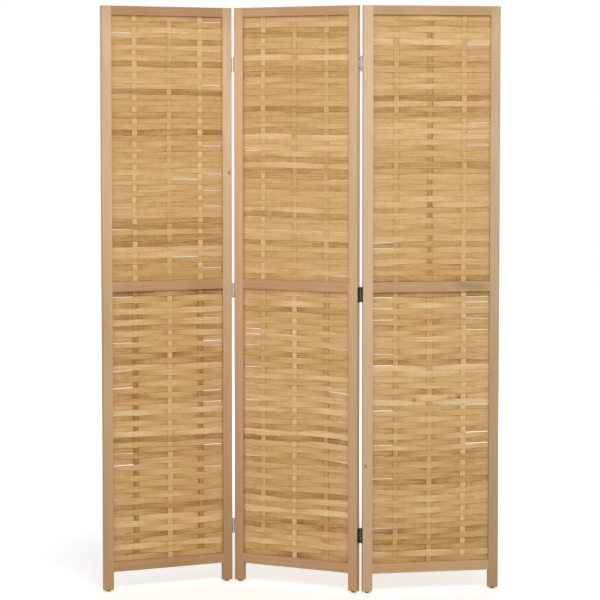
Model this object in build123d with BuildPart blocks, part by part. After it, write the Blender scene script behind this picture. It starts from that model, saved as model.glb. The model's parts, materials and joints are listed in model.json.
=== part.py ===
from build123d import *
import os

os.makedirs("parts", exist_ok=True)

# Whole panel: width between the outer edges, height from the floor to the top of the stiles
panel_width = 405.0
panel_height = 1700.0
panel_thickness = 18.0

# Turn of each panel about the vertical, in degrees, as the screen stands in its zigzag
panel_turns = {"left": 25.7, "middle": -27.0, "right": 11.3}

# Stiles, the two uprights of a panel, whose lower ends are its legs
stile_width = 28.5
arris = 0.8

# Rails between the stiles, a little thinner than them
rail_thickness = 16.0
top_rail_height = 27.0
middle_rail_height = 29.5
bottom_rail_height = 29.5
bottom_rail_underside = 56.5
middle_rail_underside = 875.0

# Mortise and tenon joints of the rails
tenon_length = 14.0
tenon_thickness = 6.0
tenon_shoulder = 5.0
tenon_clearance = 0.1
tenon_end_clearance = 0.5

# Grooves round each woven field, where the strips and the slats are held by their ends
groove_depth = 6.0
weave_seat = 5.5
weave_clearance = 0.2

# Bamboo strips, laid flat across a field, one above the other
strip_pitch = 16.4
strip_gap = 0.6
strip_thickness = 0.7

# Bamboo slats, upright, which the strips pass over and under
slat_width = 16.0
slat_thickness = 0.8
crossing_gap = 0.05
slat_shares = {
    "left": (0.21, 0.52, 0.80),
    "middle": (0.185, 0.483, 0.783),
    "right": (0.20, 0.488, 0.78),
}

# Butt hinges, three to a joint, screwed flat on the stiles' edge faces
hinge_height = 44.0
hinge_centres = {"low": 167.0, "mid": 869.0, "top": panel_height - 166.0}
knuckle_count = 3
knuckle_radius = 2.8
knuckle_gap = 0.2
pin_radius = 1.5
pin_clearance = 0.05
pin_overhang = 0.4
pin_standoff = 1.5
leaf_thickness = 1.1
leaf_reach = 15.0
leaf_clearance = 0.3

# Glides, the round studs under the stiles, narrower at the floor
glide_radius = 7.5
glide_taper = 26.0
glide_height = 5.0

# Heights and lengths that follow from the sizes above
mid_depth = panel_thickness / 2
field_width = panel_width - 2 * stile_width
bottom_rail_top = bottom_rail_underside + bottom_rail_height
middle_rail_top = middle_rail_underside + middle_rail_height
top_rail_underside = panel_height - top_rail_height
fields = {
    "lower": (bottom_rail_top, middle_rail_underside),
    "upper": (middle_rail_top, top_rail_underside),
}
rails = {
    "bottom_rail": (bottom_rail_underside, bottom_rail_height),
    "middle_rail": (middle_rail_underside, middle_rail_height),
    "top_rail": (top_rail_underside, top_rail_height),
}

# Middles of the three slats of each panel, from its left edge
slat_places = {
    name: [stile_width + share * field_width for share in shares]
    for name, shares in slat_shares.items()
}

# A strip is bent once, over its middle slat, and runs straight from there into the stiles' grooves.
# The slope takes it from one side of the middle slat to the other side of the nearest outer one.
crossing_depth = (slat_thickness + strip_thickness) / 2 + crossing_gap
closest_slats = min(b - a for places in slat_places.values() for a, b in zip(places, places[1:]))
strip_slope = 2 * crossing_depth / (closest_slats - slat_width)
bend_depth = crossing_depth + strip_slope * slat_width / 2
strip_ends = (stile_width - weave_seat, panel_width - stile_width + weave_seat)
widest_half = max(abs(end - places[1]) for places in slat_places.values() for end in strip_ends)
end_depth = strip_slope * widest_half - bend_depth
strip_groove_width = 2 * (end_depth + strip_thickness / 2 + weave_clearance)
slat_groove_width = slat_thickness + 2 * weave_clearance

# Hinge axes in a panel's own frame: x across its width, y from its front face to its back
left_edge_pin_x = -knuckle_radius
right_edge_pin_x = panel_width + knuckle_radius
front_pin_y = -pin_standoff
back_pin_y = panel_thickness + pin_standoff


def upright_plane(origin, x_dir, up=1):
    """Plane that looks along the vertical, with its x direction in plan."""
    return Plane(origin=origin, x_dir=x_dir, z_dir=(0, 0, up))


def hung_panel(turn, own_pin, shared_pin):
    """Frame of a panel turned by some degrees, whose pin, given in its own frame, stands at the shared one."""
    frame = upright_plane((0, 0, 0), Vector(1, 0, 0).rotate(Axis.Z, turn))
    return upright_plane(shared_pin - frame.from_local_coords(Vector(*own_pin)), frame.x_dir)


# The middle panel stands first, and the other two hang on its hinge pins
middle = hung_panel(panel_turns["middle"], (panel_width / 2, 0, 0), Vector(0, 0, 0))
left_pin = middle.from_local_coords(Vector(left_edge_pin_x, front_pin_y, 0))
right_pin = middle.from_local_coords(Vector(right_edge_pin_x, back_pin_y, 0))
left = hung_panel(panel_turns["left"], (right_edge_pin_x, front_pin_y, 0), left_pin)
right = hung_panel(panel_turns["right"], (left_edge_pin_x, back_pin_y, 0), right_pin)

# The origin is on the floor, in the middle of the ground that the standing screen takes up
corners = [
    panel.from_local_coords(Vector(x, y, 0))
    for panel in (left, middle, right)
    for x in (0, panel_width)
    for y in (0, panel_thickness)
]
centre = Vector(
    (min(c.X for c in corners) + max(c.X for c in corners)) / 2,
    (min(c.Y for c in corners) + max(c.Y for c in corners)) / 2,
    0,
)
panels = {
    "left": upright_plane(left.origin - centre, left.x_dir),
    "middle": upright_plane(middle.origin - centre, middle.x_dir),
    "right": upright_plane(right.origin - centre, right.x_dir),
}
pins = {"left": left_pin - centre, "right": right_pin - centre}


def edge_plane(panel, side):
    """Frame of one outer edge of a panel at floor level, with x pointing into the wood."""
    if side == "left":
        return panel
    corner = panel.from_local_coords(Vector(panel_width, panel_thickness, 0))
    return upright_plane(corner, -panel.x_dir)


def make_stile(name, edge):
    """Upright with softened long edges, a mortise for each rail and a groove for each field's strips."""
    with BuildPart() as stile:
        with BuildSketch(edge.offset(glide_height)):
            with Locations((stile_width / 2, mid_depth)):
                Rectangle(stile_width, panel_thickness)
        extrude(amount=panel_height - glide_height)
        chamfer(stile.edges().filter_by(Axis.Z), arris)
        for underside, height in rails.values():
            mortise_depth = tenon_length + tenon_end_clearance
            with BuildSketch(edge.offset(underside + tenon_shoulder - tenon_clearance)):
                with Locations((stile_width - mortise_depth / 2, mid_depth)):
                    Rectangle(mortise_depth, tenon_thickness + 2 * tenon_clearance)
            extrude(amount=height - 2 * (tenon_shoulder - tenon_clearance), mode=Mode.SUBTRACT)
        for low, high in fields.values():
            with BuildSketch(edge.offset(low)):
                with Locations((stile_width - groove_depth / 2, mid_depth)):
                    Rectangle(groove_depth, strip_groove_width)
            extrude(amount=high - low, mode=Mode.SUBTRACT)
    stile.part.label = name
    export_step(stile.part, f"parts/{name}.step")


def make_rail(name, panel, underside, height, grooved_faces):
    """Crosspiece with a tenon at each end and a groove for the slats in each face that meets a field."""
    with BuildPart() as rail:
        with BuildSketch(panel.offset(underside)):
            with Locations((panel_width / 2, mid_depth)):
                Rectangle(field_width, rail_thickness)
        extrude(amount=height)
        chamfer(rail.edges().filter_by(Axis(panel.origin, panel.x_dir)), arris)
        with BuildSketch(panel.offset(underside + tenon_shoulder)):
            with Locations((panel_width / 2, mid_depth)):
                Rectangle(field_width + 2 * tenon_length, tenon_thickness)
        extrude(amount=height - 2 * tenon_shoulder)
        for face in grooved_faces:
            groove_floor = groove_depth if face == "under" else height - groove_depth
            with BuildSketch(panel.offset(underside + groove_floor)):
                with Locations((panel_width / 2, mid_depth)):
                    Rectangle(field_width, slat_groove_width)
            extrude(amount=-groove_depth if face == "under" else groove_depth, mode=Mode.SUBTRACT)
    rail.part.label = name
    export_step(rail.part, f"parts/{name}.step")


def make_slats(name, panel, places, low, high):
    """Upright slats of one field, with their ends in the rails' grooves."""
    with BuildPart() as slats:
        with BuildSketch(panel.offset(low - weave_seat)):
            with Locations(*[(x, mid_depth) for x in places]):
                Rectangle(slat_width, slat_thickness)
        extrude(amount=high - low + 2 * weave_seat)
    slats.part.label = name
    export_step(slats.part, f"parts/{name}.step")


def strip_outline(middle_slat, bend_side):
    """Corners of a strip seen from above. bend_side is -1 where the bend is in front of the middle slat."""
    bend = mid_depth + bend_side * bend_depth
    middle_line = [(end, bend - bend_side * strip_slope * abs(end - middle_slat)) for end in strip_ends]
    middle_line.insert(1, (middle_slat, bend))
    front = [(x, y - strip_thickness / 2) for x, y in middle_line]
    back = [(x, y + strip_thickness / 2) for x, y in reversed(middle_line)]
    return front + back


def make_strips(name, panel, middle_slat, low, high):
    """Strips of one field: the top one bends in front of the middle slat, and each next one the other way."""
    rows = round((high - low) / strip_pitch)
    pitch = (high - low) / rows
    with BuildPart() as strips:
        for first_row, bend_side in enumerate((-1, 1)):
            undersides = [high - pitch * (row + 1) + strip_gap / 2 for row in range(first_row, rows, 2)]
            with BuildSketch(*[panel.offset(height) for height in undersides]):
                with BuildLine():
                    Polyline(*strip_outline(middle_slat, bend_side), close=True)
                make_face()
            extrude(amount=pitch - strip_gap)
    strips.part.label = name
    export_step(strips.part, f"parts/{name}.step")
    print(name, rows, "strips at a pitch of", round(pitch, 3))


def hinge_plane(panel, side, pin_side, height):
    """Frame of a hinge on a panel's edge: x into the wood, y from the pin's side of the panel to the other."""
    x = 0 if side == "left" else panel_width
    y = 0 if pin_side == "front" else panel_thickness
    corner = panel.offset(height).from_local_coords(Vector(x, y, 0))
    into_wood = panel.x_dir if side == "left" else -panel.x_dir
    return upright_plane(corner, into_wood, 1 if (side == "left") == (pin_side == "front") else -1)


def knuckle_spans(holds_pin):
    """Start and length of each knuckle of a leaf, from the hinge's middle. The pin's leaf has the end ones."""
    step = hinge_height / knuckle_count
    first = 0 if holds_pin else 1
    return [
        (step * i - hinge_height / 2 + knuckle_gap / 2, step - knuckle_gap)
        for i in range(first, knuckle_count, 2)
    ]


def make_leaf(name, plane, holds_pin):
    """Leaf flat on the edge face, with its knuckles rolled about the pin in front of the panel's face."""
    plate_start = knuckle_radius + leaf_clearance - pin_standoff
    with BuildPart() as leaf:
        with BuildSketch(plane.offset(-hinge_height / 2)):
            with Locations((-leaf_thickness / 2, (plate_start + leaf_reach) / 2)):
                Rectangle(leaf_thickness, leaf_reach - plate_start)
        extrude(amount=hinge_height)
        for start, length in knuckle_spans(holds_pin):
            with BuildSketch(plane.offset(start)):
                with Locations((-leaf_thickness / 2, (plate_start - pin_standoff) / 2)):
                    Rectangle(leaf_thickness, plate_start + pin_standoff)
                with Locations((-knuckle_radius, -pin_standoff)):
                    Circle(knuckle_radius)
                    Circle(pin_radius + pin_clearance, mode=Mode.SUBTRACT)
            extrude(amount=length)
    leaf.part.label = name
    export_step(leaf.part, f"parts/{name}.step")


def make_pin(name, place, height):
    """Hinge pin, held in the end knuckles and standing a little out of them."""
    pin_length = hinge_height + 2 * pin_overhang
    with BuildPart() as pin:
        with BuildSketch(Plane.XY.offset(height - pin_length / 2)):
            with Locations((place.X, place.Y)):
                Circle(pin_radius)
        extrude(amount=pin_length)
    pin.part.label = name
    export_step(pin.part, f"parts/{name}.step")


def make_glides(name, panel):
    """Two round glides under a panel, one in the middle of each stile's end."""
    stile_middles = [(x, mid_depth) for x in (stile_width / 2, panel_width - stile_width / 2)]
    with BuildPart() as glides:
        with BuildSketch(panel.offset(glide_height)):
            with Locations(*stile_middles):
                Circle(glide_radius)
        extrude(amount=-glide_height, taper=glide_taper)
    glides.part.label = name
    export_step(glides.part, f"parts/{name}.step")


# Panels: frame, woven fields and glides
grooved_faces = {"bottom_rail": ("over",), "middle_rail": ("under", "over"), "top_rail": ("under",)}
for panel_name, panel in panels.items():
    for side in ("left", "right"):
        make_stile(f"{panel_name}_panel_{side}_stile", edge_plane(panel, side))
    for rail_name, (underside, height) in rails.items():
        make_rail(f"{panel_name}_panel_{rail_name}", panel, underside, height, grooved_faces[rail_name])
    places = slat_places[panel_name]
    for field_name, (low, high) in fields.items():
        make_slats(f"{panel_name}_panel_{field_name}_slats", panel, places, low, high)
        make_strips(f"{panel_name}_panel_{field_name}_strips", panel, places[1], low, high)
    make_glides(f"{panel_name}_panel_glides", panel)

# Hinges: the middle panel carries the leaves that hold the pins, at its left edge in front and at its right edge behind
for joint, (outer_side, middle_side, pin_side) in {
    "left": ("right", "left", "front"),
    "right": ("left", "right", "back"),
}.items():
    for place_name, height in hinge_centres.items():
        hinge = f"{joint}_{place_name}_hinge"
        make_leaf(f"{hinge}_free_leaf", hinge_plane(panels[joint], outer_side, pin_side, height), False)
        make_leaf(f"{hinge}_pin_leaf", hinge_plane(panels["middle"], middle_side, pin_side, height), True)
        make_pin(f"{hinge}_pin", pins[joint], height)
    print(f"{joint} hinge line stands at x {pins[joint].X:.4f}, y {pins[joint].Y:.4f}")
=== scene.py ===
# %% [markdown]
# # A woven bamboo folding screen
#
# The screen has three panels, hinged so that it stands in a zigzag. Each panel is a frame of pale wood
# round two fields of bamboo strips, which are woven over and under three upright slats.
#
# The measured frame comes first: stiles, rails, hinges and glides are loaded at their true size, and
# everything made here rides on them. The strips, slats and glides of the measured frame are plain, so finer
# ones take their places, and the rest of the work is wood, bamboo and metal.

# %% Load the measured frame
import json
import math

import bpy
import numpy as np
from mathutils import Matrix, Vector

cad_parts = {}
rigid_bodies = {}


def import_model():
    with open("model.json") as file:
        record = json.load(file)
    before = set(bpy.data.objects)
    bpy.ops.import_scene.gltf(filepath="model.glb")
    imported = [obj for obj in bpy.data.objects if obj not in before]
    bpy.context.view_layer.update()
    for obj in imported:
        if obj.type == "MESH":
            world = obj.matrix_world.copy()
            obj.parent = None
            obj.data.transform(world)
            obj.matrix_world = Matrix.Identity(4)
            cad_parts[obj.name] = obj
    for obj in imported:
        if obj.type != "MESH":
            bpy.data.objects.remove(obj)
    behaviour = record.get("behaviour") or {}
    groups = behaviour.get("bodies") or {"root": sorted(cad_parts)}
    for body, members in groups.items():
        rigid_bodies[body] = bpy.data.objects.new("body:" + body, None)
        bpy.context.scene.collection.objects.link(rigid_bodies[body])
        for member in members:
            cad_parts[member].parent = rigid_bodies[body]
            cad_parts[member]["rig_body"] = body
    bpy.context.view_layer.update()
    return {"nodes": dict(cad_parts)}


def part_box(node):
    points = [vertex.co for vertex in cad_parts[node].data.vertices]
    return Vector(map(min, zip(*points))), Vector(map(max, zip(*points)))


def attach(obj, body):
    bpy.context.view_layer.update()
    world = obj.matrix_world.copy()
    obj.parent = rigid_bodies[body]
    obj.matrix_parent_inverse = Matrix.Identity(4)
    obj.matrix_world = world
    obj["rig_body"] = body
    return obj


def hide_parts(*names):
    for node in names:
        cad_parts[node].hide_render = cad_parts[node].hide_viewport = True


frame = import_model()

# %% [markdown]
# ## Where each panel stands
#
# A panel is easier to build lying square to the axes, and to turn afterwards. Its own frame has x across
# the panel from its left edge, y from its front face to its back, and z up from the floor. Only the turn is
# written down here. The corner is measured: it is the lowest reach of the stiles along both directions.

# %% Measure the panels' own frames
mm = 0.001
panel_turns = {"left": 25.7, "middle": -27.0, "right": 11.3}


def points_of(node):
    """All the points of a measured node, as rows of x, y and z."""
    mesh = frame["nodes"][node].data
    points = np.empty(3 * len(mesh.vertices), np.float32)
    mesh.vertices.foreach_get("co", points)
    return points.reshape(-1, 3).astype(float)


def panel_frame(name):
    """The directions across a panel and to its back, and its front left corner.

    The directions are made of the cosine and sine of the panel's turn.
    """
    turn = math.radians(panel_turns[name])
    across = np.array((math.cos(turn), math.sin(turn)))
    back = np.array((-math.sin(turn), math.cos(turn)))
    plan = np.vstack([points_of(f"{name}_panel_{side}_stile") for side in ("left", "right")])[:, :2]
    corner = across * (plan @ across).min() + back * (plan @ back).min()
    return {"across": across, "back": back, "corner": corner}


panels = {name: panel_frame(name) for name in panel_turns}
for name, panel in panels.items():
    print(name, "panel's front left corner is at", np.round(panel["corner"], 4))


# %% Stand a panel's points in the screen
def stand(panel_name, x, y, z):
    """A panel's own points as points of the screen: its corner, plus x times across, plus y times back."""
    panel = panels[panel_name]
    plan = panel["corner"] + x[..., None] * panel["across"] + y[..., None] * panel["back"]
    return np.concatenate((plan, z[..., None]), axis=-1)


def on_face(panel_name, x, z):
    """One point on the front face of a panel."""
    return tuple(stand(panel_name, np.array(x), np.array(0.0), np.array(z)).tolist())


print("the middle panel's face, 200 mm in and 1 m up:", np.round(on_face("middle", 200 * mm, 1000 * mm), 4))

# %% [markdown]
# ## From arrays to a mesh
#
# Strips, slats, screws and glides are all one kind of surface: a ring of corners carried from station to
# station. The points are worked out as whole arrays, so one helper that numbers the faces and fills a mesh
# serves them all.

# %% Number the faces of tubes
def tube_faces(stations, corners, count=1):
    """Quads of count closed tubes: each corner is joined to the next corner and to the next station.

    The points are numbered tube by tube, station by station, corner by corner.
    """
    tube, station, corner = np.meshgrid(
        np.arange(count), np.arange(stations - 1), np.arange(corners), indexing="ij"
    )
    start = (tube * stations + station) * corners
    here, beside = start + corner, start + (corner + 1) % corners
    return np.stack((here, here + corners, beside + corners, beside), axis=-1).reshape(-1, 4)


def end_faces(stations, corners, count):
    """The two flat ends of each tube: the ring of its first station, and its last ring reversed."""
    first = np.arange(count)[:, None] * stations * corners + np.arange(corners)
    last = first[:, ::-1] + (stations - 1) * corners
    return np.vstack((first, last))


print("3 stations of 6 corners make", len(tube_faces(3, 6)), "faces and", len(end_faces(3, 6, 1)), "ends")


# %% Fill a mesh, and give its points numbers
def make_piece(name, points, faces, body, finish, smooth_below):
    """A mesh object that rides on a body, smooth where two faces meet at less than an angle in degrees."""
    mesh = bpy.data.meshes.new(name)
    mesh.from_pydata(points.reshape(-1, 3).tolist(), [], [face for group in faces for face in group.tolist()])
    mesh.shade_smooth()
    mesh.set_sharp_from_angle(angle=math.radians(smooth_below))
    mesh.materials.append(finish)
    piece = bpy.data.objects.new(name, mesh)
    bpy.context.scene.collection.objects.link(piece)
    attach(piece, body)
    return piece


def paint(piece, name, values):
    """A number for each point of a piece, which its material can read by name."""
    attribute = piece.data.attributes.new(name, "FLOAT", "POINT")
    attribute.data.foreach_set("value", np.ascontiguousarray(values, np.float32).ravel())


def lay_flat(piece, along, across):
    """The piece's own map for its finish, in metres: the way along the fibres, and the way across them."""
    flat = np.stack((along.ravel(), across.ravel()), axis=-1).astype(np.float32)
    corner_points = np.empty(len(piece.data.loops), np.int32)
    piece.data.loops.foreach_get("vertex_index", corner_points)
    piece.data.uv_layers.new(name="fibres").data.foreach_set("uv", flat[corner_points].ravel())


# %% [markdown]
# ## Helpers for finishes
#
# Every finish is a small network of nodes. Colours are written as they look on a screen, 0 to 255, and
# turned into the linear numbers that a shader works with.

# %% Colours
def colour(red, green, blue):
    """A colour seen on a screen as linear light.

    It is c / 12.92 when dark, else ((c + 0.055) / 1.055) to the power 2.4.
    """
    seen = np.array((red, green, blue)) / 255
    linear = np.where(seen <= 0.04045, seen / 12.92, ((seen + 0.055) / 1.055) ** 2.4)
    return (*linear.tolist(), 1.0)


print("straw yellow as linear light:", np.round(colour(205, 160, 98)[:3], 3))


# %% Node helpers
class Finish:
    """A material under construction, with short names for the nodes that the finishes share."""

    def __init__(self, name):
        self.material = bpy.data.materials.new(name)
        self.material.use_nodes = True
        self.tree = self.material.node_tree
        self.shader = self.tree.nodes["Principled BSDF"]

    def add(self, kind, settings=None, **inputs):
        """A new node. Inputs are numbers, or outputs of other nodes that are linked to it."""
        made = self.tree.nodes.new("ShaderNode" + kind)
        for name, value in (settings or {}).items():
            setattr(made, name, value)
        for name, value in inputs.items():
            self.feed(made.inputs[name.replace("_", " ")], value)
        return made

    def feed(self, socket, value):
        """Links an output to a socket, or sets the socket's own number."""
        if isinstance(value, bpy.types.NodeSocket):
            self.tree.links.new(value, socket)
        else:
            socket.default_value = value

    def math(self, operation, *values):
        """One step of arithmetic."""
        made = self.add("Math", {"operation": operation})
        for socket, value in zip(made.inputs, values):
            self.feed(socket, value)
        return made.outputs[0]

    def noise(self, place, scale=1.0, detail=3.0, roughness=0.5):
        """Soft random values from 0 to 1."""
        made = self.add("TexNoise", Vector=place, Scale=scale, Detail=detail, Roughness=roughness)
        return made.outputs["Fac"]

    def stretch(self, place, scale, turn=(0, 0, 0), move=(0, 0, 0)):
        """A place that is turned and moved, and then counted in shorter or longer steps along each axis."""
        turned = self.add("Mapping", Vector=place, Location=move, Rotation=turn).outputs[0]
        return self.add("Mapping", Vector=turned, Scale=scale).outputs[0]

    def spread(self, value, low, high, new_low=0.0, new_high=1.0):
        """The values between low and high moved to a new range, and held at its ends."""
        made = self.add("MapRange", {"clamp": True}, Value=value)
        for name, number in zip(("From Min", "From Max", "To Min", "To Max"), (low, high, new_low, new_high)):
            made.inputs[name].default_value = number
        return made.outputs[0]

    def ramp(self, value, stops):
        """Colours along a scale from 0 to 1."""
        made = self.add("ValToRGB", Fac=value)
        elements = made.color_ramp.elements
        while len(elements) < len(stops):
            elements.new(1.0)
        for element, (place, shade) in zip(elements, stops):
            element.position = place
            element.color = colour(*shade)
        return made.outputs[0]

    def mix(self, share, first, second):
        """Two colours mixed: the share of the second, and the rest of the first."""
        made = self.add("Mix", {"data_type": "RGBA"})
        factor, colour_a, colour_b = made.inputs[0], made.inputs[6], made.inputs[7]
        for socket, value in ((factor, share), (colour_a, first), (colour_b, second)):
            self.feed(socket, value)
        return made.outputs[2]

    def bump(self, height, distance, strength):
        """A bump from heights between 0 and 1, distance metres deep."""
        return self.add("Bump", Height=height, Distance=distance, Strength=strength).outputs[0]

    def spot(self, place, centre, squeeze, core, reach):
        """A soft mark: 1 within its core and 0 beyond its reach, by the distance from its centre.

        The distance is multiplied by the squeeze along each axis first, so a small squeeze makes a long mark.
        """
        away = self.add("VectorMath", {"operation": "SUBTRACT"}, Vector=place)
        away.inputs[1].default_value = centre
        drawn = self.add("Mapping", Vector=away.outputs[0], Scale=squeeze).outputs[0]
        length = self.add("VectorMath", {"operation": "LENGTH"}, Vector=drawn).outputs["Value"]
        return self.spread(length, core, reach, 1.0, 0.0)

    def done(self, **inputs):
        """Feeds the surface shader and gives back the material."""
        for name, value in inputs.items():
            self.feed(self.shader.inputs[name.replace("_", " ")], value)
        return self.material


# %% [markdown]
# ## Bamboo
#
# Split bamboo is straw yellow to golden brown, and no two strips match: each keeps one tone along its
# length, with slow patches, short flecks and fine straight fibres. The edges where strips meet are darker,
# partly as their own darker split edges and partly as painted shade between them. Painted shade also
# darkens the faces that lie deep in the weave, and a narrow band beside each slat's edge, where a strip
# bends round it. Here and there a strip holds one of the cane's joints, a thin darker line across it, and
# two strips at the lower right have brown knots.
#
# A picture of bamboo would repeat and blur. Numbers painted on the strips carry the tone, each face's depth
# in the weave for its painted shade, the edges, and the distance to the nearest slat's edge and cane joint,
# and noise that is stretched along each strip's own map makes the fibres. A last slow noise tints the strips
# a little, from reddish to greenish.

# %% Shades, patterns and marks of bamboo
strip_shades = (
    (0.00, (128, 84, 38)),
    (0.25, (172, 124, 66)),
    (0.50, (205, 160, 98)),
    (0.75, (220, 179, 121)),
    (1.00, (236, 202, 152)),
)
# Steps to a metre along and across the fibres, detail, roughness, and weight
bamboo_patterns = {
    "patches": ((7, 75, 1), 4, 0.6, 0.55),
    "flecks": ((45, 210, 1), 3, 0.6, 0.50),
    "streaks": ((3, 380, 1), 3, 0.6, 0.75),
    "fine": ((14, 2400, 1), 2, 0.5, 0.18),
}
# How much each mark takes off the tone: painted shade for faces deep in the weave, for the band beside a
# slat's edge and for the edges where strips meet, which also stand for darker split edges; and the cane
# joint's ring
mark_weights = {"depth_shade": 0.09, "ring": 0.14, "fold_shade": 0.26, "edge": 0.32}
cane_ring = (0.4 * mm, 2.0 * mm)
# Where the painted fold shade beside a slat's edge rises and falls away, in metres from that edge
fold_shade_start, fold_shade_end = (0.0, 0.3 * mm), (0.4 * mm, 2.1 * mm)
# A hue of 0.5 leaves a colour as it is
tint_steps, tint_hues = (1.5, 30, 1), (0.498, 0.505)
# Centre, squeeze, core, reach, and weight
strip_knots = (
    (on_face("right", 152 * mm, 561 * mm), (0.8, 0, 1), 2 * mm, 10 * mm, 0.8),
    (on_face("right", 258 * mm, 563 * mm), (0.4, 0, 1), 1 * mm, 6 * mm, 0.5),
    (on_face("right", 292 * mm, 567 * mm), (0.3, 0, 1), 2 * mm, 8 * mm, 0.7),
)
print(len(bamboo_patterns), "patterns,", len(mark_weights), "marks and", len(strip_knots), "knots")


# %% Bamboo finish
def bamboo(name, knots=()):
    """Bamboo: its shade follows a value, which is the tone, plus the patterns, less the marks and the knots.

    A pattern adds its weight times how far it is above a half, and a mark or knot takes off its weight times
    its strength. The marks are painted shade for depth, for the fold beside a slat and for the edges, which
    also stand for darker split edges, and the cane joint's ring. The painted fold shade and the knots are
    fainter where the patches are dark.
    """
    finish = Finish(name)
    fibres = finish.add("UVMap", {"uv_map": "fibres"}).outputs[0]
    value, depth_shade, edge, slat_edge_distance, joint = (
        finish.add("Attribute", {"attribute_name": number}).outputs["Fac"]
        for number in ("tone", "depth_shade", "edge", "slat_edge_distance", "cane_joint")
    )
    patterns = {}
    for pattern, (steps, detail, roughness, weight) in bamboo_patterns.items():
        patterns[pattern] = finish.noise(finish.stretch(fibres, steps), detail=detail, roughness=roughness)
        value = finish.math("MULTIPLY_ADD", finish.math("SUBTRACT", patterns[pattern], 0.5), weight, value)
    patch_strength = finish.spread(patterns["patches"], 0.35, 0.65, 0.35, 1.0)
    ring = finish.spread(finish.math("ABSOLUTE", joint), *cane_ring, 1.0, 0.0)
    # Painted fold shade: a narrow dark band just beside each slat's edge, fainter where the patches are dark
    begun, ended = finish.spread(slat_edge_distance, *fold_shade_start), finish.spread(slat_edge_distance, *fold_shade_end, 1.0, 0.0)
    fold_shade = finish.math("MULTIPLY", finish.math("MULTIPLY", begun, ended), patch_strength)
    # Each mark takes off its weight: painted shade for depth, folds and edges, and the cane joint's ring
    for mark, strength in {"depth_shade": depth_shade, "ring": ring, "fold_shade": fold_shade, "edge": edge}.items():
        value = finish.math("MULTIPLY_ADD", strength, -mark_weights[mark], value)
    for centre, squeeze, core, reach, weight in knots:
        spot = finish.spot(finish.add("TexCoord").outputs["Object"], centre, squeeze, core, reach)
        value = finish.math("MULTIPLY_ADD", finish.math("MULTIPLY", spot, patch_strength), -weight, value)
    tint = finish.spread(finish.noise(finish.stretch(fibres, tint_steps), detail=2), 0.3, 0.7, *tint_hues)
    relief = finish.math("MULTIPLY_ADD", ring, 1.5, finish.math("ADD", patterns["fine"], patterns["streaks"]))
    return finish.done(
        Base_Color=finish.add("HueSaturation", Color=finish.ramp(value, strip_shades), Hue=tint).outputs[0],
        Roughness=finish.spread(patterns["streaks"], 0.3, 0.7, 0.42, 0.62),
        Normal=finish.bump(relief, 0.12 * mm, 0.6),
    )


strip_finish = bamboo("bamboo_strip", strip_knots)
slat_finish = bamboo("bamboo_slat")
print("made", strip_finish.name, "and", slat_finish.name)

# %% [markdown]
# ## The fields and their slats
#
# A field is the opening between two rails. Its height comes from the rails that close it, and its slats are
# found in the measured frame, where each slat shows as a pair of edges.

# %% Measure the fields
fields = {"lower": ("bottom_rail", "middle_rail"), "upper": ("middle_rail", "top_rail")}
panel_width, panel_thickness, stile_width = 405 * mm, 18 * mm, 28.5 * mm
mid_depth = panel_thickness / 2
strip_pitch = 16.4 * mm
slat_width = 16 * mm


def field_heights(panel_name, field_name):
    """The top of the rail below a field, and the underside of the rail above it."""
    below, above = (f"{panel_name}_panel_{rail}" for rail in fields[field_name])
    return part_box(below)[1].z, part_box(above)[0].z


def slat_middles(panel_name, field_name):
    """The slats' middles across a panel: each slat has two edges, and its middle is half their sum."""
    panel = panels[panel_name]
    plan = points_of(f"{panel_name}_panel_{field_name}_slats")[:, :2]
    edges = np.unique(np.round((plan - panel["corner"]) @ panel["across"], 5))
    return (edges[::2] + edges[1::2]) / 2


for name in panels:
    print(name, "slats at", np.round(slat_middles(name, "upper") / mm, 1), "mm")

# %% [markdown]
# ## The woven strips
#
# Each strip passes behind one slat and in front of the next, and its neighbours do the opposite. On the
# real screen the strips are split by hand, so their widths differ and taper, and because each one lies on
# the next, a bow in one is handed on to those below it. At a slat, neighbours lie one in front of it and
# one behind, so they can slip a little past each other. Where two of them don't meet, a slit of light
# shows.
#
# Placing each strip by hand would lose that. Here the strips' heights are added up from the top of the
# field to its foot at each station along them, and then scaled to fit, which hands on every bow just as the
# real stack does.

# %% Stations along a strip
strip_thickness = 0.8 * mm
strip_edge = 0.7 * mm
weave_seat = 5.5 * mm


def strip_stations(middles):
    """Stations along a strip, the cell between slats that each is in, and how far to one side it is, -1 to 1.

    A strip is flat over a slat, at full depth. From the slat's edge it runs straight to the next slat, at
    full depth on the other side, or to the groove in the stile, at no depth.
    """
    ends = (stile_width - weave_seat, panel_width - stile_width + weave_seat)
    over = (middles[:, None] + slat_width / 2 * np.array((-1, 1))).ravel()
    side = np.repeat((-1, 1, -1), 2)
    between = (np.array((ends[0], *middles)) + np.array((*middles, ends[1]))) / 2
    x = np.sort(np.concatenate((ends, over, between)))
    cell = np.searchsorted(middles, x)
    return x, cell, np.interp(x, (ends[0], *over, ends[1]), (0, *side, 0))


print("stations at", np.round(strip_stations(slat_middles("left", "upper"))[0] / mm), "mm")

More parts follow.
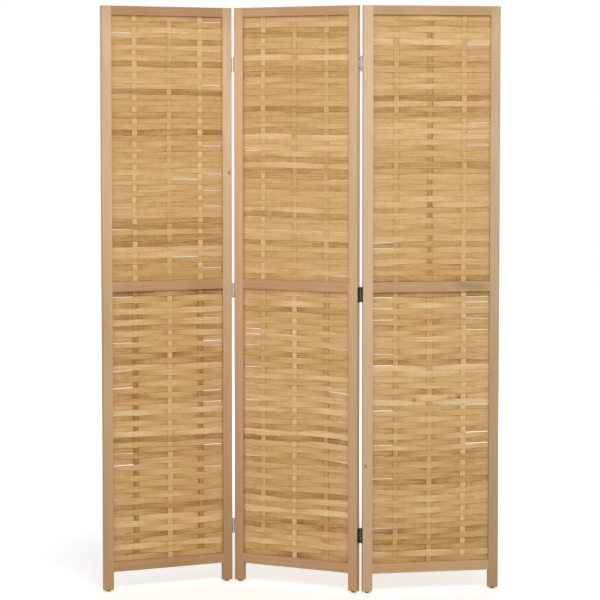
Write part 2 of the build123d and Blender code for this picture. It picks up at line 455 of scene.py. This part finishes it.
# %% Slits and golden strips
# For each field, the rows with a slit below them in each cell: cells from the left, and rows from the top
slit_places = {
    ("left", "upper"): ((2, 10, 31, 33, 37, 45), (30,), (28, 42), (11, 30, 33)),
    ("left", "lower"): ((0, 5, 8, 13, 28, 30), (), (), (4, 5, 8, 9, 17, 27, 31)),
    ("middle", "upper"): ((10, 11, 35), (), (), (2, 45)),
    ("middle", "lower"): ((5, 7, 9, 13, 29), (7,), (), (17, 29)),
    ("right", "upper"): ((4, 39, 40), (), (), (4, 6, 18, 43)),
    ("right", "lower"): ((0, 2, 4, 10, 12, 26), (), (), (0, 2, 4, 6, 19, 24, 26)),
}
golden_strips = {
    ("left", "upper"): (8, 13, 20, 39, 40),
    ("left", "lower"): (0, 28, 38, 43, 46),
    ("middle", "upper"): (2, 3, 10, 16),
    ("middle", "lower"): (26, 36, 41, 42, 47),
    ("right", "upper"): (5, 14, 46),
    ("right", "lower"): (29, 31, 33, 45),
}
print(sum(len(rows) for cells in slit_places.values() for rows in cells), "slits are placed by hand")

# %% Widths of the strips
# As shares of a strip's width
size_spread, taper_spread, wave_size = 0.045, 0.035, 0.022


def waves(random, rows, x, size):
    """Slow waves along each strip: a sum of sines of a half, one and one and a half turns over the panel."""
    turns = np.array((0.5, 1.0, 1.5))[None, :, None]
    sizes = random.normal(0, size, (rows, 3, 1))
    starts = random.uniform(0, 2 * np.pi, (rows, 3, 1))
    return (sizes * np.sin(2 * np.pi * turns * x / panel_width + starts)).sum(axis=1)


def stack_strips(random, rows, x, low, high):
    """Heights of the lines between strips: their widths added up, and scaled to the field.

    A width is 1 plus a random size, a random taper and a wave.
    """
    widths = 1 + random.normal(0, size_spread, (rows, 1))
    widths = widths + random.normal(0, taper_spread, (rows, 1)) * (x / panel_width - 0.5)
    widths = widths + waves(random, rows, x, wave_size)
    total = np.cumsum(widths, axis=0)
    return high - np.vstack((np.zeros_like(x), total / total[-1])) * (high - low)


# %% Gaps between the strips
# How likely a slit is in each cell, apart from those listed
slit_chances = (0.05, 0.0, 0.0, 0.05)
# In millimetres: a slit, and the hair's breadth between two strips that meet
slit_sizes, hair_sizes = (0.35, 1.30), (0.02, 0.22)
slat_overlap = {"lower": 2.4 * mm, "upper": 1.3 * mm}
overlap_shares = (0.3, 1.4)
last_gap = 0.2 * mm


def open_slits(random, rows, cell, side, places, overlap):
    """Gap below each strip at each station: an overlap at a slat, a hair between, or a slit where it shows."""
    shown = random.random((rows, 4)) < np.array(slit_chances)
    for column, strips in enumerate(places):
        shown[list(strips), column] = True
    sizes = random.uniform(*slit_sizes, (rows, 4)) * mm * shown
    hair = random.uniform(*hair_sizes, (rows, 1)) * mm
    overlaps = overlap * random.uniform(*overlap_shares, (rows, len(side)))
    over_slat = np.abs(side) > 0.9
    return np.where(over_slat & ~shown[:, cell], -overlaps, hair + sizes[:, cell])


def strip_heights(random, panel_name, field_name, x, cell, side):
    """The lines between strips, and each strip's top and bottom: its two lines, drawn in by half a gap."""
    low, high = field_heights(panel_name, field_name)
    rows = round((high - low) / strip_pitch)
    lines = stack_strips(random, rows, x, low, high)
    gaps = open_slits(random, rows, cell, side, slit_places[panel_name, field_name], slat_overlap[field_name])
    gaps[-1] = last_gap
    return lines, lines[:-1] - np.vstack((gaps[-1:], gaps[:-1])) / 2, lines[1:] + gaps / 2


# %% Bend the strips through the slats
crossing_depth = {"lower": 1.2 * mm, "upper": 1.05 * mm}
depth_spread = 0.06
# In millimetres
twist_spread, twist_wave = 0.11, 0.05


def bend_strips(random, field_name, x, side, top, bottom):
    """Bars with six corners at every station, so that their edges slope, and how deep each strip is there.

    A strip's depth is its side, with the sign turned round in every other row, and its middle is the weave's
    middle plus that depth times a crossing's. A twist moves its top forward and its bottom back, or the
    reverse.
    """
    rows = len(top)
    front_or_back = np.where(np.arange(rows) % 2, 1, -1)[:, None]
    depth = front_or_back * side * (1 + random.normal(0, depth_spread, (rows, 1)))
    twist = random.normal(0, twist_spread, (rows, 1)) * mm + waves(random, rows, x, twist_wave) * mm
    twist[:, (0, -1)] = 0
    middle = mid_depth + crossing_depth[field_name] * depth
    ring_y = strip_thickness / 2 * np.array((-1, -1, 0, 1, 1, 0))
    lift = np.array((0, 1, 1, 1, 0, 0))
    inset = strip_edge * np.array((1, -1, 0, -1, 1, 0))
    z = np.where(lift, top[..., None], bottom[..., None]) + inset
    y = middle[..., None] + ring_y + twist[..., None] * np.where(lift, -1, 1)
    return np.broadcast_to(x[None, :, None], y.shape), y, z, depth


# %% Paint the strips
tone_middle, tone_spread, tone_range = 0.62, 0.11, (0.34, 0.90)
golden_drop = 0.17
# How strong the painted shade of a face deep in the weave is in each field, and its random spread
depth_shade_shares = {"lower": 1.2, "upper": 0.6}
depth_shade_spread = (0.4, 1.6)
cane_joint_spacing = 2.2
map_spread = (0, 50)


def paint_strips(random, piece, panel_name, field_name, x, across, z, depth):
    """Each strip's tone, painted shade for depth, edges, distance from the slats' edges, cane joint and map.

    The painted depth shade is stronger the deeper a face lies in the weave. The edges are darkened, partly as
    darker split edges and partly as painted shade. The distance from the nearest slat's edge places the
    painted fold shade, and the cane joint is the way from a random place, which for most strips is past
    their ends.
    """
    rows = len(across)
    tone = random.normal(tone_middle, tone_spread, rows)
    tone[list(golden_strips[panel_name, field_name])] -= golden_drop
    paint(piece, "tone", np.broadcast_to(np.clip(tone, *tone_range)[:, None, None], z.shape))
    # Painted shade: a face is darker the deeper it lies in the weave, on the front and on the back alike
    shares = depth_shade_shares[field_name] * random.uniform(*depth_shade_spread, (rows, 1, 1))
    paint(piece, "depth_shade", shares * depth[..., None] * np.array((1, 1, 0, -1, -1, 0)))
    # The edges where strips meet: partly their darker split edges, partly painted shade between strips
    paint(piece, "edge", np.broadcast_to(np.array((0, 0, 1, 0, 0, 1)), z.shape))
    # The way from the nearest slat's edge, which places the painted fold shade
    past_slat = np.abs(x[:, None] - slat_middles(panel_name, field_name)).min(axis=1) - slat_width / 2
    paint(piece, "slat_edge_distance", np.broadcast_to(np.maximum(past_slat, 0)[None, :, None], z.shape))
    joint_places = random.uniform(-cane_joint_spacing, cane_joint_spacing, rows)[:, None, None]
    paint(piece, "cane_joint", across - joint_places)
    starts = random.uniform(*map_spread, (2, rows, 1, 1))
    lay_flat(piece, across + starts[0], z - z[:, :1, :1] + starts[1])


# %% Weave the strips of every field
strip_seed = 11


def weave_strips(panel_name, field_name, seed):
    """The strips of one field as one piece. It gives back the lines between them, and their stations."""
    random = np.random.default_rng(seed)
    x, cell, side = strip_stations(slat_middles(panel_name, field_name))
    lines, top, bottom = strip_heights(random, panel_name, field_name, x, cell, side)
    across, y, z, depth = bend_strips(random, field_name, x, side, top, bottom)
    rows, stations, corners = y.shape
    name = f"{panel_name}_{field_name}_woven_strips"
    piece = make_piece(
        name,
        stand(panel_name, across, y, z),
        (tube_faces(stations, corners, rows), end_faces(stations, corners, rows)),
        f"{panel_name}_panel",
        strip_finish,
        smooth_below=20,
    )
    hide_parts(f"{panel_name}_panel_{field_name}_strips")
    paint_strips(random, piece, panel_name, field_name, x, across, z, depth)
    print(name, rows, "strips of", len(tube_faces(stations, corners)) + 2, "faces")
    return lines, x


woven = {
    (panel_name, field_name): weave_strips(panel_name, field_name, strip_seed + 2 * i + j)
    for i, panel_name in enumerate(panels)
    for j, field_name in enumerate(fields)
}

# %% [markdown]
# ## The upright slats
#
# The slats are stiffer than the strips, and only give way a little at each crossing. Their long edges are
# eased, and those narrow slopes catch the light on one side and fall dark on the other, so a slat is a
# six-cornered bar whose stations follow the rows. Each slat has a tone of its own, and painted shade darkens
# its thin side edges.

# %% Sizes and tones of the slats
slat_thickness = 1.1 * mm
slat_ease = 0.8 * mm
slat_sway = 0.25 * mm
slat_width_spread = 0.02
flat_share = 0.28
slat_joint_heights = (0.1, 1.6)
slat_tones = {
    ("left", "upper"): (0.80, 0.68, 0.86),
    ("left", "lower"): (0.26, 0.80, 0.30),
    ("middle", "upper"): (0.82, 0.60, 0.64),
    ("middle", "lower"): (0.60, 0.88, 0.44),
    ("right", "upper"): (0.58, 0.38, 0.72),
    ("right", "lower"): (0.54, 0.60, 0.88),
}
slat_seed = 31
print("tones of", sum(len(tones) for tones in slat_tones.values()), "slats")


# %% Slats of every field
def slat_stations(panel_name, field_name, middles):
    """Heights of the slats' stations, and how far each sways: two to a row, about the row's middle.

    A slat sways back where a strip passes in front of it, and forth where one passes behind.
    """
    lines, x = woven[panel_name, field_name]
    low, high = (corner.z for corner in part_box(f"{panel_name}_panel_{field_name}_slats"))
    at_slats = np.stack([lines[:, np.searchsorted(x, middle) - 1] for middle in middles])
    row_middles = (at_slats[:, :-1] + at_slats[:, 1:]) / 2
    rows = row_middles.shape[1]
    flat = strip_pitch * flat_share
    z = np.stack((row_middles + flat, row_middles - flat), axis=-1).reshape(3, -1)
    sway = np.where(np.arange(rows) % 2, 1, -1) * np.array((1, -1, 1))[:, None]
    sway = np.repeat(sway, 2, axis=1) * slat_sway
    z = np.hstack((np.full((3, 1), high), z, np.full((3, 1), low)))
    return z, np.hstack((np.zeros((3, 1)), sway, np.zeros((3, 1))))


def make_slats(panel_name, field_name, seed):
    """Three slats as one piece: at each station a ring of six corners, with eased edges, round the sway."""
    random = np.random.default_rng(seed)
    middles = slat_middles(panel_name, field_name)
    z, sway = slat_stations(panel_name, field_name, middles)
    half, ease, depth = slat_width / 2, slat_ease, slat_thickness / 2
    ring_x = np.array((-half + ease, half - ease, half, half - ease, -half + ease, -half))
    ring_y = np.array((-depth, -depth, 0, depth, depth, 0))
    widths = 1 + random.normal(0, slat_width_spread, (3, 1, 1))
    stations = z.shape[1]
    across = np.broadcast_to(middles[:, None, None] + ring_x * widths, (3, stations, 6))
    y = mid_depth + sway[..., None] + ring_y
    up = np.broadcast_to(z[..., None], across.shape)
    name = f"{panel_name}_{field_name}_woven_slats"
    piece = make_piece(
        name,
        stand(panel_name, across, y, up),
        (tube_faces(stations, 6, 3), end_faces(stations, 6, 3)),
        f"{panel_name}_panel",
        slat_finish,
        smooth_below=20,
    )
    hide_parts(f"{panel_name}_panel_{field_name}_slats")
    tone = np.array(slat_tones[panel_name, field_name])[:, None, None]
    paint(piece, "tone", np.broadcast_to(tone, across.shape))
    paint(piece, "depth_shade", np.zeros(across.shape))
    # Painted shade on the slats' thin side edges
    paint(piece, "edge", np.broadcast_to(ring_y == 0, across.shape))
    paint(piece, "slat_edge_distance", np.zeros(across.shape))
    paint(piece, "cane_joint", up - random.uniform(*slat_joint_heights, (3, 1, 1)))
    starts = [random.uniform(*map_spread, (3, 1, 1)) for way in ("along", "across")]
    lay_flat(piece, up + starts[0], across + starts[1])
    print(name, "3 slats,", len(piece.data.polygons), "faces")


for i, panel_name in enumerate(panels):
    for j, field_name in enumerate(fields):
        make_slats(panel_name, field_name, slat_seed + 2 * i + j)

# %% [markdown]
# ## Wood of the stiles and rails
#
# The frame is a light softwood under a thin clear coat: pale pinkish tan on the stiles, browner on the
# rails and towards the floor, with straight grain and faint growth rings. Each piece is cut from another
# board, so each has its own shade. Two stiles have a small knot, and the right panel's middle rail has two
# dark stains.
#
# The stiles and rails of the measured frame have the right shape, so they only get a finish. The grain has
# to run along each piece, so the pattern is turned with its panel, and it is stretched along z for a stile
# and along x for a rail.

# %% Patterns of wood
# One step along the grain for this many across it
grain_stretch = 0.04
# Steps to a metre, and detail
wood_noises = {"fibre": (1300.0, 2), "streak": (170.0, 4), "slow": (26.0, 3)}
blotch_steps = (9, 9, 5)
ring_weight, slow_weight = 0.22, 0.60
wood_weights = {"streak": 0.38, "fibre": 0.20, "blotch": 0.50}
grain_contrast = (16, 19, 22)
# Heights where a stile starts and ends its turn to the foot's shade, and the share of it at each
foot_fade, top_fade = (1.25, 0.0, 0.0, 0.75), (1.62, 1.70, 0.0, 0.30)


# %% Wood finish
def wood(name, turn, along, shade, heart_place, foot=None, marks=()):
    """Wood: a shade from pale to deep by a value, which is growth rings plus slow noise plus finer patterns.

    The rings are circles about a far-off heart of the tree. Each finer pattern adds its weight times how far
    it is above a half. A mark then mixes in its own tint.
    """
    finish = Finish(name)
    place = finish.add("TexCoord").outputs["Object"]
    turned = (0, 0, -math.radians(turn))
    lengthwise = {"z": (1, 1, grain_stretch), "x": (grain_stretch, 1, 1)}[along]
    heart = finish.stretch(place, lengthwise, turned, heart_place)
    rings = finish.add(
        "TexWave",
        {"wave_type": "RINGS", "rings_direction": along.upper(), "wave_profile": "SAW"},
        Vector=heart,
        Scale=34.0,
        Distortion=5.0,
        Detail=3.0,
        Detail_Scale=1.2,
    ).outputs["Fac"]
    patterns = {pattern: finish.noise(heart, *numbers) for pattern, numbers in wood_noises.items()}
    patterns["blotch"] = finish.noise(finish.stretch(place, blotch_steps, turned), 1.0, 3)
    slow = finish.math("MULTIPLY", patterns["slow"], slow_weight)
    value = finish.math("MULTIPLY_ADD", rings, ring_weight, slow)
    for pattern, weight in wood_weights.items():
        value = finish.math("MULTIPLY_ADD", finish.math("SUBTRACT", patterns[pattern], 0.5), weight, value)
    pale, deep = np.add(shade, grain_contrast), np.subtract(shade, grain_contrast)
    shade = finish.ramp(value, ((0.05, pale), (0.85, deep)))
    if foot:
        height = finish.add("SeparateXYZ", Vector=place).outputs[2]
        for fade in (foot_fade, top_fade):
            shade = finish.mix(finish.spread(height, *fade), shade, colour(*foot))
    for centre, squeeze, core, reach, share, tint in marks:
        spot = finish.math("MULTIPLY", finish.spot(place, centre, squeeze, core, reach), share)
        ragged = finish.math("MULTIPLY", spot, finish.spread(patterns["streak"], 0.3, 0.6, 0.5, 1.0))
        shade = finish.mix(ragged, shade, colour(*tint))
    relief = finish.math("MULTIPLY_ADD", patterns["streak"], 0.6, patterns["fibre"])
    return finish.done(
        Base_Color=shade,
        Roughness=finish.spread(patterns["streak"], 0.3, 0.7, 0.46, 0.62),
        Normal=finish.bump(relief, 0.15 * mm, 0.45),
        Coat_Weight=0.12,
        Coat_Roughness=0.35,
    )


# %% Shades and marks of each board
# A stile's main shade, and its foot's
stile_shades = {
    ("left", "left"): ((213, 178, 138), (183, 139, 92)),
    ("left", "right"): ((222, 186, 146), (160, 112, 62)),
    ("middle", "left"): ((219, 177, 134), (176, 129, 85)),
    ("middle", "right"): ((213, 175, 131), (188, 144, 101)),
    ("right", "left"): ((220, 186, 147), (201, 164, 124)),
    ("right", "right"): ((205, 172, 134), (173, 133, 89)),
}
rail_shades = {
    ("left", "top"): (176, 134, 89),
    ("left", "middle"): (190, 146, 98),
    ("left", "bottom"): (186, 143, 95),
    ("middle", "top"): (188, 145, 97),
    ("middle", "middle"): (196, 150, 102),
    ("middle", "bottom"): (187, 145, 99),
    ("right", "top"): (190, 150, 104),
    ("right", "middle"): (190, 151, 106),
    ("right", "bottom"): (200, 159, 110),
}
# Squeeze, core, reach, share, and tint
knot = ((1, 0, 0.7), 2 * mm, 5.5 * mm, 0.85, (128, 78, 44))
stain = ((0.35, 0, 1), 1 * mm, 15 * mm, 0.6, (138, 108, 76))
wood_marks = {
    ("left", "right"): ((on_face("left", 396 * mm, 1217 * mm), *knot),),
    ("right", "left"): ((on_face("right", 8 * mm, 372 * mm), *knot),),
    ("right", "middle"): (
        (on_face("right", 296 * mm, 893 * mm), *stain),
        (on_face("right", 338 * mm, 888 * mm), *stain),
    ),
}
print("marks on", len(wood_marks), "boards")

# %% Lay the wood
board_seed = 5
heart_reach = (0.15, 0.45)


def lay_wood(node_name, finish):
    """Gives a measured piece of the frame its wood."""
    node = frame["nodes"][node_name]
    node.data.materials.clear()
    node.data.materials.append(finish)


boards = np.random.default_rng(board_seed)
for (panel_name, side), (shade, foot) in stile_shades.items():
    heart = tuple(boards.uniform(*heart_reach, 3).tolist())
    marks = wood_marks.get((panel_name, side), ())
    board = wood(f"{panel_name}_{side}_stile_wood", panel_turns[panel_name], "z", shade, heart, foot, marks)
    lay_wood(f"{panel_name}_panel_{side}_stile", board)
for (panel_name, level), shade in rail_shades.items():
    heart = tuple(boards.uniform(*heart_reach, 3).tolist())
    marks = wood_marks.get((panel_name, level), ())
    board = wood(f"{panel_name}_{level}_rail_wood", panel_turns[panel_name], "x", shade, heart, marks=marks)
    lay_wood(f"{panel_name}_panel_{level}_rail", board)
print("wood on", len(stile_shades), "stiles and", len(rail_shades), "rails")

# %% [markdown]
# ## Metal of the hinges and glides
#
# The butt hinges are zinc-plated steel with a soft shine and fine scratches along them. The hinges at the
# left joint and at the top right get a lit copy of the zinc, with a painted bright reflection, and the
# other hinges and the screws a darker, shaded copy. The glides are polished steel. All of it is bare metal,
# so it only needs its own colour, an uneven roughness and a very fine bump.

# %% Metal finishes
cloud_steps, line_steps, line_stretch = 420.0, 5200.0, (1, 1, 0.03)


def metal(name, bright, dull, rough_low, rough_high):
    """Metal whose colour and roughness follow cloudy noise, with fine lines along z."""
    finish = Finish(name)
    place = finish.add("TexCoord").outputs["Object"]
    clouds = finish.noise(place, cloud_steps, 4)
    lines = finish.noise(finish.stretch(place, line_stretch), line_steps, 2)
    return finish.done(
        Base_Color=finish.ramp(clouds, ((0.3, dull), (0.7, bright))),
        Metallic=1.0,
        Roughness=finish.spread(clouds, 0.3, 0.7, rough_low, rough_high),
        Normal=finish.bump(finish.math("ADD", lines, clouds), 0.04 * mm, 0.5),
    )


# One zinc in two copies: a darker, shaded one, and a lit one with a painted bright reflection
zinc = metal("hinge_zinc", (158, 158, 146), (84, 84, 74), 0.26, 0.48)
painted_lit_zinc = metal("painted_lit_hinge_zinc", (238, 240, 232), (186, 188, 180), 0.24, 0.42)
steel = metal("glide_steel", (150, 148, 144), (104, 103, 101), 0.24, 0.38)
hinge_nodes = {name: node for name, node in frame["nodes"].items() if "hinge" in name}
for name, node in hinge_nodes.items():
    node.data.materials.clear()
    # The hinges at the left joint and at the top right wear the painted bright reflection
    node.data.materials.append(painted_lit_zinc if name.startswith(("left", "right_top")) else zinc)
print("zinc on", len(hinge_nodes), "leaves and pins")

# %% [markdown]
# ## Glides under the stiles
#
# Each stile stands on a domed steel glide. It is turned round an axis, so it is a profile of radius and
# height carried round a circle: flat where it stands, round at the side, and straight up to the wood.

# %% Glides
glide_radius, glide_height, glide_foot = 7.5 * mm, 5 * mm, 4.2 * mm
dome_share = 0.8
glide_segments = 20


def turned(radii, heights, centre, segments):
    """A shape turned on an upright axis: each station is a circle of its radius at its height."""
    angle = np.arange(segments) * 2 * np.pi / segments
    x = centre[0] + radii[:, None] * np.cos(angle)
    y = centre[1] + radii[:, None] * np.sin(angle)
    return np.stack((x, y, np.broadcast_to(heights[:, None], x.shape)), axis=-1)


def make_glides(panel_name):
    """Two glides: a quarter of an ellipse from the flat foot to the full radius, and a straight rim above.

    The profile runs from the rim down, so that the faces look outwards.
    """
    angle = np.linspace(0, np.pi / 2, 6)
    radii = np.concatenate((glide_foot + (glide_radius - glide_foot) * np.sin(angle), (glide_radius,)))[::-1]
    heights = np.concatenate(((1 - np.cos(angle)) * glide_height * dome_share, (glide_height,)))[::-1]
    rings = []
    for side in ("left", "right"):
        low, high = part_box(f"{panel_name}_panel_{side}_stile")
        rings.append(turned(radii, heights, ((low.x + high.x) / 2, (low.y + high.y) / 2), glide_segments))
    stations = len(radii)
    piece = make_piece(
        f"{panel_name}_domed_glides",
        np.stack(rings),
        (tube_faces(stations, glide_segments, 2), end_faces(stations, glide_segments, 2)),
        f"{panel_name}_panel",
        steel,
        smooth_below=40,
    )
    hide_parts(f"{panel_name}_panel_glides")
    print(piece.name, len(piece.data.polygons), "faces")


for panel_name in panels:
    make_glides(panel_name)

# %% [markdown]
# ## Hinge screws
#
# Two countersunk screws hold each leaf. Only their heads show: a low dome with a cross pressed into it. The
# head is a disc of rings and spokes whose height is a formula, a dome less a soft-edged cross, so no
# cutting tool is needed.

# %% Shape of a screw head
screw_radius, screw_dome, screw_rise = 3.1 * mm, 0.22 * mm, 0.32 * mm
screw_sink = 0.2 * mm
cross_reach, cross_width, cross_depth = 1.9 * mm, 0.42 * mm, 0.42 * mm
# How far out the cross's arms start to end, and how far from an arm its slope ends, in arms' widths
cross_taper, cross_slope = 0.75, 1.9
# The first and last sloping rings, as shares of the radius
ring_span = (0.04, 0.96)
screw_spokes, screw_rings = 32, 9


def soft_step(value, start, end):
    """Rises from 0 to 1 between start and end, as 3 t squared less 2 t cubed."""
    t = np.clip((value - start) / (end - start), 0, 1)
    return t * t * (3 - 2 * t)


def screw_head(turn):
    """A screw head as rings of points: along, up and out from its seat. Its height is a dome less a cross."""
    angle = np.arange(screw_spokes) * 2 * np.pi / screw_spokes
    shares = np.concatenate((np.linspace(*ring_span, screw_rings - 2), (1.0, 1.0)))
    radius = screw_radius * shares[:, None]
    along, up = radius * np.cos(angle), radius * np.sin(angle)
    near_arm = np.minimum(np.abs(along), np.abs(up))
    beside = soft_step(near_arm, cross_width, cross_slope * cross_width)
    beyond = soft_step(radius, cross_taper * cross_reach, cross_reach)
    cross = (1 - beside) * (1 - beyond)
    out = screw_rise - screw_dome * (radius / screw_radius) ** 2 - cross_depth * cross
    out[-1] = -screw_sink
    cosine, sine = math.cos(turn), math.sin(turn)
    return along * cosine - up * sine, along * sine + up * cosine, out


print("a screw head has", screw_head(0)[0].size, "points")

# %% Seat the screws on the leaves
screw_rows = (-14 * mm, 14 * mm)
# A leaf's plate, measured from the face of the panel that its pin is on
leaf_middle, leaf_half = 8.3 * mm, 6.75 * mm


def leaf_seat(node, panel_name):
    """A leaf's outer face, the middle of its plate, and the way it looks, in its panel's frame."""
    panel = panels[panel_name]
    points = points_of(node)
    plan = points[:, :2] - panel["corner"]
    x, y = plan @ panel["across"], plan @ panel["back"]
    outwards = -1 if x.mean() < panel_width / 2 else 1
    pin_in_front = y.mean() < mid_depth
    depth = leaf_middle if pin_in_front else panel_thickness - leaf_middle
    plate = np.abs(y - depth) < leaf_half
    edge = (x[plate] * outwards).max() * outwards
    return edge, depth, (points[:, 2].min() + points[:, 2].max()) / 2, outwards


def make_screws(panel_name, leaves, seed):
    """The screws of all the leaves on one panel as one piece."""
    random = np.random.default_rng(seed)
    heads = []
    for leaf in leaves:
        edge, depth, height, outwards = leaf_seat(leaf, panel_name)
        for rise in screw_rows:
            along, up, out = screw_head(random.uniform(0, np.pi / 2))
            x, y = edge + outwards * out, depth + outwards * along
            heads.append(stand(panel_name, x, y, height + rise + up))
    rings, spokes = heads[0].shape[:2]
    piece = make_piece(
        f"{panel_name}_hinge_screws",
        np.stack(heads),
        (tube_faces(rings, spokes, len(heads)), end_faces(rings, spokes, len(heads))),
        f"{panel_name}_panel",
        zinc,
        smooth_below=50,
    )
    print(piece.name, len(heads), "heads of", len(piece.data.polygons) // len(heads), "faces")


screw_seed = 51
leaves = [name for name in sorted(frame["nodes"]) if name.endswith("leaf")]
for seed, panel_name in enumerate(panels, screw_seed):
    body = f"{panel_name}_panel"
    make_screws(panel_name, [leaf for leaf in leaves if frame["nodes"][leaf]["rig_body"] == body], seed)

# %% [markdown]
# ## Floor and light
#
# The screen stands in a plain white studio. The floor is a real white surface, so it keeps the soft shadow
# of the screen, and a little light of its own for the camera lifts it to paper white. The world does the
# same behind it.

# %% World
ambient_light, white_light = 0.33, 1.0


def white_world():
    """Even light from all round, and plain white where the camera, a reflection or a clear surface looks."""
    world = bpy.data.worlds.new("studio")
    bpy.context.scene.world = world
    world.use_nodes = True
    tree = world.node_tree
    path = tree.nodes.new("ShaderNodeLightPath")
    seen = path.outputs["Is Camera Ray"]
    for ray in ("Is Glossy Ray", "Is Transmission Ray"):
        either = tree.nodes.new("ShaderNodeMath")
        either.operation = "MAXIMUM"
        tree.links.new(seen, either.inputs[0])
        tree.links.new(path.outputs[ray], either.inputs[1])
        seen = either.outputs[0]
    strength = tree.nodes.new("ShaderNodeMapRange")
    tree.links.new(seen, strength.inputs["Value"])
    strength.inputs["To Min"].default_value = ambient_light
    strength.inputs["To Max"].default_value = white_light
    tree.links.new(strength.outputs[0], tree.nodes["Background"].inputs["Strength"])
    tree.nodes["Background"].inputs["Color"].default_value = (1, 1, 1, 1)


white_world()
print("world light:", ambient_light, "on the screen, and", white_light, "behind it")

# %% Floor
floor_half = 12.0
paper_shades = ((0.2, (242, 242, 242)), (0.8, (246, 246, 246)))
# The floor's own light grows from the first number to the second between these distances from the middle
floor_lift, lift_reach = (0.40, 0.85), (0.9, 2.6)


def white_floor(half):
    """A wide square at floor level, nearly white, with light of its own for the camera, more further out."""
    mesh = bpy.data.meshes.new("studio_floor")
    corners = [(-half, -half, 0), (half, -half, 0), (half, half, 0), (-half, half, 0)]
    mesh.from_pydata(corners, [], [(0, 1, 2, 3)])
    finish = Finish("floor_paper")
    seen = finish.add("LightPath").outputs["Is Camera Ray"]
    place = finish.add("TexCoord").outputs["Object"]
    reach = finish.add("VectorMath", {"operation": "LENGTH"}, Vector=place).outputs["Value"]
    mesh.materials.append(finish.done(
        Base_Color=finish.ramp(finish.noise(place, 3.0, 3), paper_shades),
        Roughness=0.9,
        Specular_IOR_Level=0.0,
        Emission_Color=(1, 1, 1, 1),
        Emission_Strength=finish.math("MULTIPLY", seen, finish.spread(reach, *lift_reach, *floor_lift)),
    ))
    floor = bpy.data.objects.new("studio_floor", mesh)
    bpy.context.scene.collection.objects.link(floor)


white_floor(floor_half)


# %% Lamps
def soft_lamp(name, place, aim, size, power):
    """A square area lamp that faces a point."""
    data = bpy.data.lights.new(name, "AREA")
    data.size = size
    data.energy = power
    lamp = bpy.data.objects.new(name, data)
    bpy.context.scene.collection.objects.link(lamp)
    x, y, z = np.array(aim, float) - np.array(place, float)
    lamp.location = place
    lamp.rotation_euler = (math.atan2(math.hypot(x, y), -z), 0, math.atan2(y, x) - math.pi / 2)
    print(name, "of", power, "watts")


soft_lamp("key_lamp", (0.9, -3.6, 3.6), aim=(0, 0, 1.0), size=2.0, power=88)
soft_lamp("fill_lamp", (-2.6, -3.2, 2.2), aim=(0, 0, 0.9), size=2.4, power=32)
soft_lamp("back_lamp", (0.4, 3.6, 3.2), aim=(0, 0, 0.9), size=2.4, power=60)

# %% [markdown]
# ## Camera
#
# The photograph was taken a little above the middle of the screen, looking slightly down. The place, the
# turn and the lens were fitted to about fifty edges of the panels.

# %% Camera
camera_place = (0.06729, -6.90618, 1.3859)
camera_dip, camera_turn = 3.7385, 0.5828
camera_data = bpy.data.cameras.new("camera")
camera_data.sensor_width = 36
camera_data.lens = 142.16
camera_data.shift_y = -0.05
camera_data.clip_end = 100
camera = bpy.data.objects.new("camera", camera_data)
bpy.context.scene.collection.objects.link(camera)
camera.location = camera_place
camera.rotation_euler = (math.radians(90 - camera_dip), 0, math.radians(camera_turn))
bpy.context.scene.camera = camera
bpy.context.scene.view_settings.view_transform = "Standard"
print("camera at", camera_place, "with a lens of", camera_data.lens, "mm")
